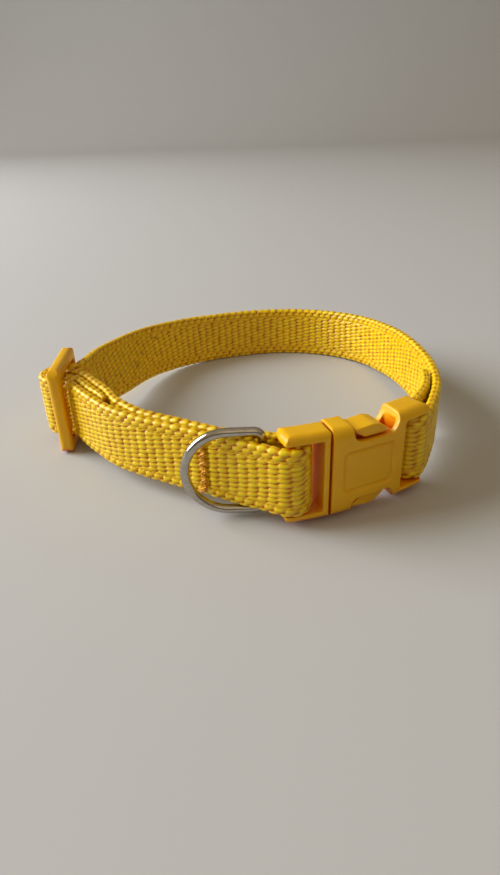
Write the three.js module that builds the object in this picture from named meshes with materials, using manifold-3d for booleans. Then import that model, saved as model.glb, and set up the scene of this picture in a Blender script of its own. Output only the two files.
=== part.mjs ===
// A cat collar of flat ribbed webbing with a side-release buckle, a strap adjuster and a D-shaped ring.
// The collar is fastened and stands on its edge. Millimetres, +Z up, origin under the middle of its box.
// Plan headings are in degrees, counterclockwise from +X, and the webbing's route turns left round the neck.
// In the frame of a hard part, x runs along the webbing's route and y points to the left of it.

import * as THREE from "three";
import { mergeVertices } from "three/addons/utils/BufferGeometryUtils.js";
import Module from "manifold-3d";

const wasm = await Module();
wasm.setup();

// Webbing
const STRAP_WIDTH = 12.5;
const STRAP_THICKNESS = 1.7;
const SELVAGE_TAPER = 0.45; // width of the bevel along each woven edge
const STRAP_FACET = 0.85; // length of one facet along the webbing

// The loop, seen from above
const LOOP_WIDTH = 76;
const LOOP_DEPTH = 79;

// Clearances
const CLEAR = 0.3; // between pieces that touch, and between layers of webbing
const EDGE_CLEAR = 0.4; // from an edge of the webbing to the rail or wire beside it

// Both halves of the buckle
const BUCKLE_RAIL = 1.6;
const BUCKLE_BEND = 61; // radius of its curve round the neck
const BUCKLE_HEADING = 23;
const BUCKLE_CORNER = 1.4;

// Plug
const PLUG_THICKNESS = 5;
const PLUG_BAR_RADIUS = 0.8;
const PLUG_BAR_INSET = 2; // from the rail ends to the middle of the bar
const PLUG_WINDOW_PLAY = 1.7; // open gap beside the webbing
const PLUG_WALL = 1.3; // cross wall at the socket's mouth
const ARM_WIDTH = 2.6;
const GRIP_THICKNESS = 4.2;
const GRIP_RECESS = 0.5; // the grips lie this far inside the outline

// Socket
const SOCKET_LENGTH = 19.4;
const SOCKET_THICKNESS = 5.6;
const SOCKET_SHELL = 1.2;
const SOCKET_COLLAR = 3.4; // full-height band at the mouth
const SOCKET_REAR = 6.75; // full-height block at the other end
const SOCKET_WALL = 1.4; // between the arms and the webbing
const SOCKET_SLOT_PLAY = 1.5;
const SOCKET_BAR_RADIUS = 0.7;
const SOCKET_BAR_INSET = 1.6;
const SIDE_WINDOW_DEPTH = 2.9;
const SIDE_WINDOW_SLOPE = 2;
const PANEL_INSET = 1.8; // from the mouth to the sunk panel
const PANEL_LENGTH = 9.6;
const PANEL_HEIGHT = 8;
const PANEL_CORNER = 1.2;
const PANEL_SINK = 0.25;

// Ring
const RING_WIRE_RADIUS = 0.8;
const RING_DEPTH = 13; // from the middle of the straight bar to the middle of the bow's wire
const RING_CORNER = 1.5;
const RING_WELD_RADIUS = 0.85;
const RING_WELD_LENGTH = 1.6;
const RING_HEADING = 180;

// Adjuster
const SLIDER_RAIL = 2.45;
const SLIDER_THICKNESS = 2.6;
const SLIDER_END_BAR = 2.3;
const SLIDER_SLOT_PLAY = 0.3; // free room in each slot
const SLIDER_BAR_RADIUS = 0.75;
const SLIDER_CORNER = 1.8;
const SLIDER_BEVEL = 0.4;
const SLIDER_HEADING = 272;

// Headings of the webbing where it meets a hard part
const SOCKET_LEAVES = 56;
const SLIDER_ARRIVES = 250;
const SLIDER_LEAVES = 308;
const SLIDER_INNER = 150;
const RING_OUTER = -25;
const RING_INNER = 160;
const PLUG_ARRIVES = -8;

// Places on the plan, as shares of the loop's width (across) and depth (away) from its middle
const BUCKLE_PLACE = { across: 0.2316, away: -0.4431 };
const SLIDER_PLACE = { across: -0.5, away: -0.0747 };
const RING_PLACE = { across: 0.0263, away: -0.4658 };

// The single layer of webbing, from the socket round the back to the adjuster. A lean, in degrees, turns
// its top edge outwards. The tail that is sewn round the socket's bar ends beside the third row.
const BACK_STATIONS = [
  { across: 0.425, away: -0.3228, heading: 66, lean: 0 },
  { across: 0.4724, away: -0.2063, heading: 75, lean: 0 },
  { across: 0.4842, away: -0.1506, heading: 82, lean: 0 },
  { across: 0.4908, away: -0.0772, heading: 88, lean: 0 },
  { across: 0.4842, away: 0.0481, heading: 96, lean: 0 },
  { across: 0.4553, away: 0.2177, heading: 106, lean: 0 },
  { across: 0.3789, away: 0.3886, heading: 129, lean: 0 },
  { across: 0.2684, away: 0.4671, heading: 156, lean: 0 },
  { across: 0.0921, away: 0.5, heading: 181, lean: 0 },
  { across: -0.0987, away: 0.4658, heading: 199, lean: 4 },
  { across: -0.2184, away: 0.4114, heading: 214, lean: 12 },
  { across: -0.325, away: 0.3139, heading: 235, lean: 20 },
  { across: -0.4079, away: 0.1329, heading: 247, lean: 20 },
];

// The outer layer of webbing, from the adjuster to the seam beside the ring. The inner layer runs as many
// layers further in as its column says: two where the adjuster's sewn tail lies between them.
const FRONT_STATIONS = [
  { across: -0.4079, away: -0.2076, heading: -50, layer: 2 },
  { across: -0.3395, away: -0.2835, heading: -44, layer: 1.4 },
  { across: -0.2632, away: -0.3392, heading: -33, layer: 1 },
  { across: -0.1684, away: -0.3899, heading: -29, layer: 1 },
  { across: -0.0987, away: -0.4278, heading: -30, layer: 1 },
];

// Worked out from the sizes above
const HALF_STRAP = STRAP_THICKNESS / 2;
const PITCH = STRAP_THICKNESS + CLEAR; // between the middles of two layers
const WEB_OPENING = STRAP_WIDTH + 2 * EDGE_CLEAR;
const BUCKLE_HEIGHT = WEB_OPENING + 2 * BUCKLE_RAIL;
const SLIDER_HEIGHT = WEB_OPENING + 2 * SLIDER_RAIL;
const MIDDLE = Math.max(BUCKLE_HEIGHT, SLIDER_HEIGHT) / 2; // height of the webbing's middle at the hard parts
const SAG = MIDDLE - STRAP_WIDTH / 2; // the back of the loop reaches down to the floor
const PLUG_WRAP = PLUG_BAR_RADIUS + CLEAR + HALF_STRAP;
const SOCKET_WRAP = SOCKET_BAR_RADIUS + CLEAR + HALF_STRAP;
const PLUG_FRAME = PLUG_BAR_INSET + PLUG_WRAP + HALF_STRAP + PLUG_WINDOW_PLAY + PLUG_WALL;
const BUCKLE_LENGTH = PLUG_FRAME + CLEAR + SOCKET_LENGTH;
const PLUG_END = -BUCKLE_LENGTH / 2;
const SOCKET_END = BUCKLE_LENGTH / 2;
const SEAM = PLUG_END + PLUG_FRAME;
const MOUTH = SEAM + CLEAR;
const PLUG_BAR = PLUG_END + PLUG_BAR_INSET;
const SOCKET_BAR = SOCKET_END - SOCKET_BAR_INSET;
const SLOT_START = SOCKET_BAR - SOCKET_WRAP - HALF_STRAP - SOCKET_SLOT_PLAY;
const CAVITY_END = SLOT_START - SOCKET_WALL;
const WINDOW_START = MOUTH + SOCKET_COLLAR;
const WINDOW_END = SOCKET_END - SOCKET_REAR;
const BUCKLE_BOTTOM = MIDDLE - BUCKLE_HEIGHT / 2;
const BUCKLE_TOP = MIDDLE + BUCKLE_HEIGHT / 2;
const OPENING_BOTTOM = MIDDLE - WEB_OPENING / 2;
const OPENING_TOP = MIDDLE + WEB_OPENING / 2;
const WINDOW_FLOOR = BUCKLE_TOP - SIDE_WINDOW_DEPTH;
const CAVITY_TOP = BUCKLE_TOP - SOCKET_SHELL;
const SLIDER_WRAP = SLIDER_BAR_RADIUS + CLEAR + HALF_STRAP;
const SLIDER_OUTER_WRAP = SLIDER_WRAP + PITCH;
const SLIDER_SLOT = SLIDER_OUTER_WRAP + HALF_STRAP + CLEAR + SLIDER_SLOT_PLAY; // middle bar to an end bar
const SLIDER_LENGTH = 2 * (SLIDER_SLOT + SLIDER_END_BAR);
const CORNER_WRAP = SLIDER_SLOT + SLIDER_BEVEL - SLIDER_OUTER_WRAP;
const RING_HALF = WEB_OPENING / 2 + RING_WIRE_RADIUS;
const RING_WRAP = RING_WIRE_RADIUS + CLEAR + HALF_STRAP;
const CUT = 4 * SOCKET_THICKNESS; // a cutter this thick passes right through the buckle

const UP = new THREE.Vector3(0, 0, 1);
const radians = THREE.MathUtils.degToRad;

function ahead(heading) {
  return new THREE.Vector2(Math.cos(radians(heading)), Math.sin(radians(heading)));
}

function leftOf(heading) {
  return ahead(heading + 90);
}

function planPoint(place) {
  return new THREE.Vector2(place.across * LOOP_WIDTH, place.away * LOOP_DEPTH);
}

// A point given in a hard part's frame, on the plan
function inFrame(place, heading, x, y) {
  return planPoint(place).addScaledVector(ahead(heading), x).addScaledVector(leftOf(heading), y);
}

// Solids

function solidOf(geometry) {
  const bare = geometry.clone();
  bare.deleteAttribute("normal");
  bare.deleteAttribute("uv");
  const welded = mergeVertices(bare, 1e-4);
  const vertProperties = new Float32Array(welded.attributes.position.array);
  const triVerts = new Uint32Array(welded.index.array);
  return new wasm.Manifold(new wasm.Mesh({ numProp: 3, vertProperties, triVerts }));
}

function geometryOf(solid) {
  const mesh = solid.getMesh();
  const geometry = new THREE.BufferGeometry();
  geometry.setAttribute("position", new THREE.BufferAttribute(mesh.vertProperties, 3));
  geometry.setIndex(new THREE.BufferAttribute(mesh.triVerts, 1));
  geometry.computeVertexNormals();
  return geometry;
}

function rectangle(x0, x1, z0, z1) {
  const shape = new THREE.Shape();
  shape.moveTo(x0, z0).lineTo(x1, z0).lineTo(x1, z1).lineTo(x0, z1).closePath();
  return shape;
}

function roundedRectangle(x0, x1, z0, z1, radius) {
  const shape = new THREE.Shape();
  shape.absarc(x1 - radius, z0 + radius, radius, -Math.PI / 2, 0, false);
  shape.absarc(x1 - radius, z1 - radius, radius, 0, Math.PI / 2, false);
  shape.absarc(x0 + radius, z1 - radius, radius, Math.PI / 2, Math.PI, false);
  shape.absarc(x0 + radius, z0 + radius, radius, Math.PI, 1.5 * Math.PI, false);
  return shape.closePath();
}

// A side-view shape given a thickness across the route, centred on it
function sideways(shape, thickness) {
  const geometry = new THREE.ExtrudeGeometry(shape, {
    depth: thickness,
    bevelEnabled: false,
    curveSegments: 4,
  });
  geometry.translate(0, 0, -thickness / 2);
  geometry.rotateX(Math.PI / 2);
  return solidOf(geometry);
}

// A slab that follows the buckle's curve, between two offsets outwards from its middle surface
function bentSlab(x0, x1, offset0, offset1, z0, z1) {
  const from = x0 / BUCKLE_BEND - Math.PI / 2;
  const to = x1 / BUCKLE_BEND - Math.PI / 2;
  const shape = new THREE.Shape();
  shape.absarc(0, BUCKLE_BEND, BUCKLE_BEND + offset1, from, to, false);
  shape.absarc(0, BUCKLE_BEND, BUCKLE_BEND + offset0, to, from, true);
  shape.closePath();
  const geometry = new THREE.ExtrudeGeometry(shape, {
    depth: z1 - z0,
    bevelEnabled: false,
    curveSegments: 8,
  });
  geometry.translate(0, 0, z0);
  return solidOf(geometry);
}

function bentBody(x0, x1, thickness) {
  return bentSlab(x0, x1, -thickness / 2, thickness / 2, BUCKLE_BOTTOM, BUCKLE_TOP);
}

// A distance along the buckle's curve, as a point of its frame
function onBend(x) {
  const turn = x / BUCKLE_BEND;
  return new THREE.Vector2(BUCKLE_BEND * Math.sin(turn), BUCKLE_BEND * (1 - Math.cos(turn)));
}

// An upright round bar whose ends are sunk into the rails
function webBar(at, radius, rail) {
  const geometry = new THREE.CylinderGeometry(radius, radius, WEB_OPENING + rail, 12);
  geometry.rotateX(Math.PI / 2);
  geometry.translate(at.x, at.y, MIDDLE);
  return solidOf(geometry);
}

function turnedOver(solid) {
  return solid.scale([1, 1, -1]).translate([0, 0, 2 * MIDDLE]);
}

// Socket

function sideWindow() {
  const above = BUCKLE_TOP + CLEAR;
  const shape = new THREE.Shape();
  shape.moveTo(WINDOW_START, above);
  shape.lineTo(WINDOW_START, WINDOW_FLOOR + SIDE_WINDOW_SLOPE);
  shape.quadraticCurveTo(WINDOW_START, WINDOW_FLOOR, WINDOW_START + SIDE_WINDOW_SLOPE, WINDOW_FLOOR);
  shape.lineTo(WINDOW_END - SIDE_WINDOW_SLOPE, WINDOW_FLOOR);
  shape.quadraticCurveTo(WINDOW_END - SIDE_WINDOW_SLOPE / 2, WINDOW_FLOOR, WINDOW_END, above);
  return sideways(shape.closePath(), CUT);
}

function sunkPanel() {
  const x0 = MOUTH + PANEL_INSET;
  const x1 = x0 + PANEL_LENGTH;
  const z0 = MIDDLE - PANEL_HEIGHT / 2;
  const z1 = MIDDLE + PANEL_HEIGHT / 2;
  const skin = bentSlab(x0 - CLEAR, x1 + CLEAR, SOCKET_THICKNESS / 2 - PANEL_SINK, SOCKET_THICKNESS, z0, z1);
  return skin.intersect(sideways(roundedRectangle(x0, x1, z0, z1, PANEL_CORNER), CUT));
}

function buckleSocket() {
  const end = onBend(SOCKET_END).x;
  const outline = roundedRectangle(
    MOUTH - 2 * BUCKLE_CORNER,
    end,
    BUCKLE_BOTTOM,
    BUCKLE_TOP,
    BUCKLE_CORNER
  );
  const cavity = bentSlab(
    MOUTH - CLEAR,
    CAVITY_END,
    SOCKET_SHELL - SOCKET_THICKNESS / 2,
    SOCKET_THICKNESS / 2 - SOCKET_SHELL,
    2 * MIDDLE - CAVITY_TOP,
    CAVITY_TOP
  );
  const slot = sideways(rectangle(SLOT_START, SOCKET_END + CLEAR, OPENING_BOTTOM, OPENING_TOP), CUT);
  const window = sideWindow();
  return bentBody(MOUTH, SOCKET_END, SOCKET_THICKNESS)
    .intersect(sideways(outline, CUT))
    .subtract(cavity)
    .subtract(slot)
    .subtract(window)
    .subtract(turnedOver(window))
    .subtract(sunkPanel())
    .add(webBar(onBend(SOCKET_BAR), SOCKET_BAR_RADIUS, BUCKLE_RAIL));
}

// Plug

// A spring arm inside the socket, with a stem that carries the grip in the side window
function springArm() {
  const top = WINDOW_FLOOR - CLEAR;
  const reach = SOCKET_THICKNESS / 2 - SOCKET_SHELL - CLEAR;
  const x0 = WINDOW_START + CLEAR;
  const x1 = WINDOW_END - SIDE_WINDOW_SLOPE;
  const foot = WINDOW_FLOOR + CLEAR;
  const crest = BUCKLE_TOP - GRIP_RECESS;
  const shape = new THREE.Shape();
  shape.moveTo(x1, foot);
  shape.quadraticCurveTo((x0 + 3 * x1) / 4, crest, (x0 + x1) / 2, crest);
  shape.lineTo(x0 + CLEAR, crest - CLEAR);
  shape.lineTo(x0, crest - 2 * CLEAR);
  shape.lineTo(x0 + SIDE_WINDOW_SLOPE, foot);
  const grip = bentBody(x0, x1, GRIP_THICKNESS).intersect(sideways(shape.closePath(), CUT));
  const stem = bentSlab(
    x0 + SIDE_WINDOW_SLOPE + CLEAR,
    x1 - 3 * CLEAR,
    CLEAR - reach,
    reach - CLEAR,
    top - ARM_WIDTH / 2,
    foot + CLEAR
  );
  const core = bentSlab(SEAM - PLUG_WALL / 2, CAVITY_END - CLEAR, -reach, reach, top - ARM_WIDTH, top);
  return core.add(stem).add(grip);
}

function bucklePlug() {
  const start = onBend(PLUG_END).x;
  const outline = roundedRectangle(start, SEAM + 2 * BUCKLE_CORNER, BUCKLE_BOTTOM, BUCKLE_TOP, BUCKLE_CORNER);
  const window = sideways(rectangle(PLUG_END - CLEAR, SEAM - PLUG_WALL, OPENING_BOTTOM, OPENING_TOP), CUT);
  const arm = springArm();
  return bentBody(PLUG_END, SEAM, PLUG_THICKNESS)
    .intersect(sideways(outline, CUT))
    .subtract(window)
    .add(webBar(onBend(PLUG_BAR), PLUG_BAR_RADIUS, BUCKLE_RAIL))
    .add(arm)
    .add(turnedOver(arm));
}

// Adjuster

function slider() {
  const half = SLIDER_LENGTH / 2 - SLIDER_BEVEL;
  const height = SLIDER_HEIGHT / 2 - SLIDER_BEVEL;
  const radius = SLIDER_CORNER - SLIDER_BEVEL;
  const shape = roundedRectangle(-half, half, MIDDLE - height, MIDDLE + height, radius);
  const reach = SLIDER_SLOT + SLIDER_BEVEL;
  shape.holes.push(rectangle(-reach, reach, OPENING_BOTTOM - SLIDER_BEVEL, OPENING_TOP + SLIDER_BEVEL));
  const frame = new THREE.ExtrudeGeometry(shape, {
    depth: SLIDER_THICKNESS - 2 * SLIDER_BEVEL,
    bevelThickness: SLIDER_BEVEL,
    bevelSize: SLIDER_BEVEL,
    bevelSegments: 2,
    curveSegments: 4,
  });
  frame.translate(0, 0, SLIDER_BEVEL - SLIDER_THICKNESS / 2);
  frame.rotateX(Math.PI / 2);
  return solidOf(frame).add(webBar(new THREE.Vector2(), SLIDER_BAR_RADIUS, SLIDER_RAIL));
}

// Ring

// A flat path of the side view, x and z, as a curve in space
class UprightCurve extends THREE.Curve {
  constructor(path) {
    super();
    this.path = path;
  }

  getPoint(t, target = new THREE.Vector3()) {
    const point = this.path.getPointAt(t);
    return target.set(point.x, 0, point.y);
  }
}

function dRing() {
  const gap = RING_WELD_LENGTH / 4; // the wire's ends meet inside the weld
  const path = new THREE.Path();
  path.moveTo(0, gap);
  path.lineTo(0, RING_HALF - RING_CORNER);
  path.quadraticCurveTo(0, RING_HALF, RING_CORNER, RING_HALF);
  path.lineTo(RING_DEPTH - RING_HALF, RING_HALF);
  path.absarc(RING_DEPTH - RING_HALF, 0, RING_HALF, Math.PI / 2, -Math.PI / 2, true);
  path.lineTo(RING_CORNER, -RING_HALF);
  path.quadraticCurveTo(0, -RING_HALF, 0, RING_CORNER - RING_HALF);
  path.lineTo(0, -gap);
  const section = new THREE.Shape();
  section.absarc(0, 0, RING_WIRE_RADIUS, 0, 2 * Math.PI, false);
  const wire = new THREE.ExtrudeGeometry(section, {
    extrudePath: new UprightCurve(path),
    steps: 52,
    curveSegments: 4,
  });
  const weld = new THREE.CylinderGeometry(RING_WELD_RADIUS, RING_WELD_RADIUS, RING_WELD_LENGTH, 10);
  weld.rotateX(Math.PI / 2);
  return solidOf(wire).add(solidOf(weld)).translate([0, 0, MIDDLE]);
}

// Webbing

// A point of the route with its heading and lean, moved to the left of it
function via(point, heading, left = 0, lean = 0) {
  return { point: point.clone().addScaledVector(leftOf(heading), left), heading, lean };
}

// The route round a bar or corner, from one heading to another, in turns of up to 45 degrees
function turnRound(centre, radius, from, to) {
  const count = Math.ceil(Math.abs(to - from) / 45);
  const side = to > from ? -radius : radius;
  return Array.from({ length: count + 1 }, (_, i) => via(centre, from + ((to - from) * i) / count, side));
}

function station(row, left = 0) {
  return via(planPoint(row), row.heading, left, row.lean);
}

function reversed(stop) {
  return { point: stop.point, heading: stop.heading + 180, lean: -stop.lean };
}

// From the sewn end at the socket to the sewn end at the adjuster
function strapStops() {
  const buckleBar = (x) => {
    const at = onBend(x);
    return inFrame(BUCKLE_PLACE, BUCKLE_HEADING, at.x, at.y);
  };
  const ring = planPoint(RING_PLACE);
  const bar = planPoint(SLIDER_PLACE);
  const cornerX = SLIDER_SLOT + SLIDER_BEVEL;
  const cornerY = SLIDER_THICKNESS / 2 - SLIDER_BEVEL;
  const farCorner = inFrame(SLIDER_PLACE, SLIDER_HEADING, -cornerX, cornerY);
  const nearCorner = inFrame(SLIDER_PLACE, SLIDER_HEADING, cornerX, cornerY);
  const outwards = SLIDER_HEADING - 90;
  const inwards = SLIDER_HEADING + 90;
  const layersInside = FRONT_STATIONS.map((row) => station(row, row.layer * PITCH));
  return [
    reversed(station(BACK_STATIONS[2], PITCH)),
    reversed(station(BACK_STATIONS[1], PITCH)),
    ...turnRound(buckleBar(SOCKET_BAR), SOCKET_WRAP, SOCKET_LEAVES - 180, SOCKET_LEAVES),
    ...BACK_STATIONS.map((row) => station(row)),
    ...turnRound(farCorner, CORNER_WRAP, SLIDER_ARRIVES, outwards),
    ...turnRound(bar, SLIDER_OUTER_WRAP, outwards, inwards),
    ...turnRound(nearCorner, CORNER_WRAP, inwards, SLIDER_LEAVES),
    ...FRONT_STATIONS.map((row) => station(row)),
    via(ring, RING_OUTER, -RING_WRAP),
    ...turnRound(buckleBar(PLUG_BAR), PLUG_WRAP, PLUG_ARRIVES, RING_INNER),
    via(ring, RING_INNER, -RING_WRAP),
    ...layersInside.reverse().map(reversed),
    reversed(via(nearCorner, SLIDER_LEAVES, CORNER_WRAP + 2 * PITCH)),
    ...turnRound(bar, SLIDER_WRAP, SLIDER_INNER, inwards),
    ...turnRound(nearCorner, CORNER_WRAP + PITCH, inwards, SLIDER_LEAVES),
    station(FRONT_STATIONS[0], PITCH),
  ];
}

// The smallest turn between two headings
function turnBetween(from, to) {
  return THREE.MathUtils.euclideanModulo(to - from + 180, 360) - 180;
}

// The height of the webbing's middle, which sinks to the floor behind the adjuster
function heightAt(point) {
  const start = planPoint(SLIDER_PLACE).y + SLIDER_LENGTH / 2;
  return MIDDLE - SAG * THREE.MathUtils.smoothstep(point.y, start, LOOP_DEPTH / 2);
}

function inSpace(point) {
  return new THREE.Vector3(point.x, point.y, heightAt(point));
}

// The webbing's middle line, with the directions of its section: upright apart from the lean of each stop
class WebbingRoute extends THREE.CurvePath {
  constructor(leans) {
    super();
    this.leans = leans;
  }

  leanAt(distance) {
    const ends = this.getCurveLengths();
    const found = ends.findIndex((end) => end >= distance);
    const i = found < 0 ? ends.length - 1 : found;
    const ease = THREE.MathUtils.smoothstep(distance, i === 0 ? 0 : ends[i - 1], ends[i]);
    return THREE.MathUtils.lerp(this.leans[i], this.leans[i + 1], ease);
  }

  computeFrenetFrames(steps) {
    const frames = { tangents: [], normals: [], binormals: [] };
    for (let i = 0; i <= steps; i += 1) {
      const tangent = this.getTangentAt(i / steps);
      const outwards = tangent.clone().cross(UP).normalize();
      const lean = radians(this.leanAt((i / steps) * this.getLength()));
      const normal = outwards.clone().cross(tangent).multiplyScalar(Math.cos(lean));
      normal.addScaledVector(outwards, Math.sin(lean));
      frames.tangents.push(tangent);
      frames.normals.push(normal);
      frames.binormals.push(tangent.clone().cross(normal));
    }
    return frames;
  }
}

// A smooth curve through all stops, close to a circular arc between two of them
function strapCurve() {
  const stops = strapStops();
  const curve = new WebbingRoute(stops.map((stop) => stop.lean));
  stops.slice(1).forEach((end, i) => {
    const start = stops[i];
    const quarterTurn = radians(turnBetween(start.heading, end.heading)) / 4;
    const handle = start.point.distanceTo(end.point) / (3 * Math.cos(quarterTurn) ** 2);
    const leave = start.point.clone().addScaledVector(ahead(start.heading), handle);
    const arrive = end.point.clone().addScaledVector(ahead(end.heading), -handle);
    curve.add(
      new THREE.CubicBezierCurve3(inSpace(start.point), inSpace(leave), inSpace(arrive), inSpace(end.point))
    );
  });
  return curve;
}

function strap() {
  const curve = strapCurve();
  const flat = STRAP_WIDTH / 2 - SELVAGE_TAPER;
  const section = new THREE.Shape();
  section.moveTo(-STRAP_WIDTH / 2, 0);
  section.lineTo(-flat, -HALF_STRAP);
  section.lineTo(flat, -HALF_STRAP);
  section.lineTo(STRAP_WIDTH / 2, 0);
  section.lineTo(flat, HALF_STRAP);
  section.lineTo(-flat, HALF_STRAP);
  section.closePath();
  return new THREE.ExtrudeGeometry(section, {
    extrudePath: curve,
    steps: Math.round(curve.getLength() / STRAP_FACET),
  });
}

// Materials and the scene graph

const webbing = new THREE.MeshStandardMaterial({ color: 0xe0b62c, roughness: 0.75, metalness: 0 });
const plastic = new THREE.MeshStandardMaterial({ color: 0xe3ae2a, roughness: 0.4, metalness: 0 });
const nickel = new THREE.MeshStandardMaterial({ color: 0xc9c5be, roughness: 0.2, metalness: 1 });

function piece(name, geometry, material, place, heading) {
  const mesh = new THREE.Mesh(geometry, material);
  mesh.name = name;
  if (place) {
    const point = planPoint(place);
    mesh.position.set(point.x, point.y, 0);
    mesh.rotation.z = radians(heading);
  }
  return mesh;
}

const collar = new THREE.Group();
collar.add(
  piece("strap", strap(), webbing),
  piece("buckle_socket", geometryOf(buckleSocket()), plastic, BUCKLE_PLACE, BUCKLE_HEADING),
  piece("buckle_plug", geometryOf(bucklePlug()), plastic, BUCKLE_PLACE, BUCKLE_HEADING),
  piece("d_ring", geometryOf(dRing()), nickel, RING_PLACE, RING_HEADING),
  piece("slider", geometryOf(slider()), plastic, SLIDER_PLACE, SLIDER_HEADING)
);
collar.updateMatrixWorld(true);
const box = new THREE.Box3().setFromObject(collar, true);
const middle = box.getCenter(new THREE.Vector3());
collar.position.set(-middle.x, -middle.y, -box.min.z);

export default collar;
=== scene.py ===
import math

import bmesh
import bpy
import numpy as np
from mathutils import Matrix, Vector


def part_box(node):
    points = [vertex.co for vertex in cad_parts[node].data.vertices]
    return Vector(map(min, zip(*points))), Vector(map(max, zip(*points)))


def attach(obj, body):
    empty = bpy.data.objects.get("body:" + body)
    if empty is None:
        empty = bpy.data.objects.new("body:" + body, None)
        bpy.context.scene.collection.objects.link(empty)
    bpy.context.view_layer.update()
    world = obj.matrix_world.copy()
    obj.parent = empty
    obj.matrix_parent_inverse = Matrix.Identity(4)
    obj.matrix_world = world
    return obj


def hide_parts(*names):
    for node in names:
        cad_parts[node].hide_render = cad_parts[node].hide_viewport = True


# A fastened cat collar of yellow nylon webbing, standing on its edge. Lengths are in millimetres, and
# MM turns them into metres where a mesh, a light or the camera is placed.
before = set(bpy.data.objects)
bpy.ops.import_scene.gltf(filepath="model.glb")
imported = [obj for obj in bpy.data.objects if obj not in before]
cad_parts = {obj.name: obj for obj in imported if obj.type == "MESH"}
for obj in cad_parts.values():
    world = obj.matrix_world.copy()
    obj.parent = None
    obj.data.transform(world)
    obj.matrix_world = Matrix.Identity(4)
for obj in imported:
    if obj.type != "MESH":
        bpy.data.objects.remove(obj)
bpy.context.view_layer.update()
MM = 0.001

# The photograph's camera
PHOTO_LONG_SIDE = 875
FOCAL_PIXELS = 600
SENSOR = 36
CAMERA_ON_PLAN = (0.0, -120.513)
CAMERA_HEIGHT = 62.475
CAMERA_ELEVATION = 29.31
CAMERA_ROLL = -2.12

# Webbing, with the sizes of the construction
STRAP_WIDTH = 12.5
STRAP_THICKNESS = 1.7
LOOP_WIDTH = 76
LOOP_DEPTH = 79
CLEAR = 0.3
EDGE_CLEAR = 0.4
LAYER = STRAP_THICKNESS + CLEAR
HALF_STRAP = STRAP_THICKNESS / 2

# Hard parts, with the sizes of the construction
BUCKLE_BEND = 61
BUCKLE_HEADING = 23
BUCKLE_RAIL = 1.6
PLUG_BAR_RADIUS = 0.8
PLUG_BAR_INSET = 2
PLUG_THICKNESS = 5
PLUG_WINDOW_PLAY = 1.7
PLUG_WALL = 1.3
SOCKET_BAR_INSET = 1.6
SOCKET_BAR_RADIUS = 0.7
SOCKET_LENGTH = 19.4
SOCKET_THICKNESS = 5.6
PANEL_INSET = 1.8
PANEL_LENGTH = 9.6
PANEL_HEIGHT = 8
PANEL_CORNER = 1.2
SLIDER_RAIL = 2.45
SLIDER_END_BAR = 2.3
SLIDER_THICKNESS = 2.6
SLIDER_SLOT_PLAY = 0.3
SLIDER_BAR_RADIUS = 0.75
SLIDER_BEVEL = 0.4
SLIDER_HEADING = 272
RING_WIRE_RADIUS = 0.8
RING_DEPTH = 13
RING_CORNER = 1.5
RING_WELD_RADIUS = 0.85
RING_WELD_LENGTH = 1.6

# The soft webbing's own give, beyond the construction's plain solid
PLUG_SLACK = 0.55  # the bend round the plug's bar is this much looser
TAIL_WEDGE = 4.5  # the tail's flattened end fills the wedge between the two layers this far
TAIL_THINNED = 0.55  # the thickness left at that end, as a share

# Headings of the webbing where it meets a hard part, in degrees
SOCKET_LEAVES = 56
SLIDER_ARRIVES = 250
SLIDER_LEAVES = 308
SLIDER_INNER = 150
RING_OUTER = -25
RING_INNER = 160
PLUG_ARRIVES = -8

# Worked out from the sizes above
WEB_OPENING = STRAP_WIDTH + 2 * EDGE_CLEAR
MIDDLE = WEB_OPENING / 2 + SLIDER_RAIL
SAG = MIDDLE - STRAP_WIDTH / 2
PLUG_WRAP = PLUG_BAR_RADIUS + CLEAR + HALF_STRAP
SOCKET_WRAP = SOCKET_BAR_RADIUS + CLEAR + HALF_STRAP
PLUG_FRAME = PLUG_BAR_INSET + PLUG_WRAP + HALF_STRAP + PLUG_WINDOW_PLAY + PLUG_WALL
BUCKLE_LENGTH = PLUG_FRAME + CLEAR + SOCKET_LENGTH
PLUG_BAR = PLUG_BAR_INSET - BUCKLE_LENGTH / 2
SOCKET_BAR = BUCKLE_LENGTH / 2 - SOCKET_BAR_INSET
MOUTH = PLUG_FRAME + CLEAR - BUCKLE_LENGTH / 2
SLIDER_WRAP = SLIDER_BAR_RADIUS + CLEAR + HALF_STRAP
SLIDER_OUTER_WRAP = SLIDER_WRAP + LAYER
SLIDER_SLOT = SLIDER_OUTER_WRAP + HALF_STRAP + CLEAR + SLIDER_SLOT_PLAY
CORNER_WRAP = SLIDER_SLOT + SLIDER_BEVEL - SLIDER_OUTER_WRAP
RING_HALF = WEB_OPENING / 2 + RING_WIRE_RADIUS
RING_WRAP = RING_WIRE_RADIUS + CLEAR + HALF_STRAP

# Places on the plan as shares of the loop's width and depth: across, away
BUCKLE_PLACE = (0.2316, -0.4431)
SLIDER_PLACE = (-0.5, -0.0747)
RING_PLACE = (0.0263, -0.4658)

# The single layer round the back: across, away, heading, lean
BACK_STATIONS = [
    (0.425, -0.3228, 66, 0),
    (0.4724, -0.2063, 75, 0),
    (0.4842, -0.1506, 82, 0),
    (0.4908, -0.0772, 88, 0),
    (0.4842, 0.0481, 96, 0),
    (0.4553, 0.2177, 106, 0),
    (0.3789, 0.3886, 129, 0),
    (0.2684, 0.4671, 156, 0),
    (0.0921, 0.5, 181, 0),
    (-0.0987, 0.4658, 199, 4),
    (-0.2184, 0.4114, 214, 12),
    (-0.325, 0.3139, 235, 20),
    (-0.4079, 0.1329, 247, 20),
]

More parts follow.
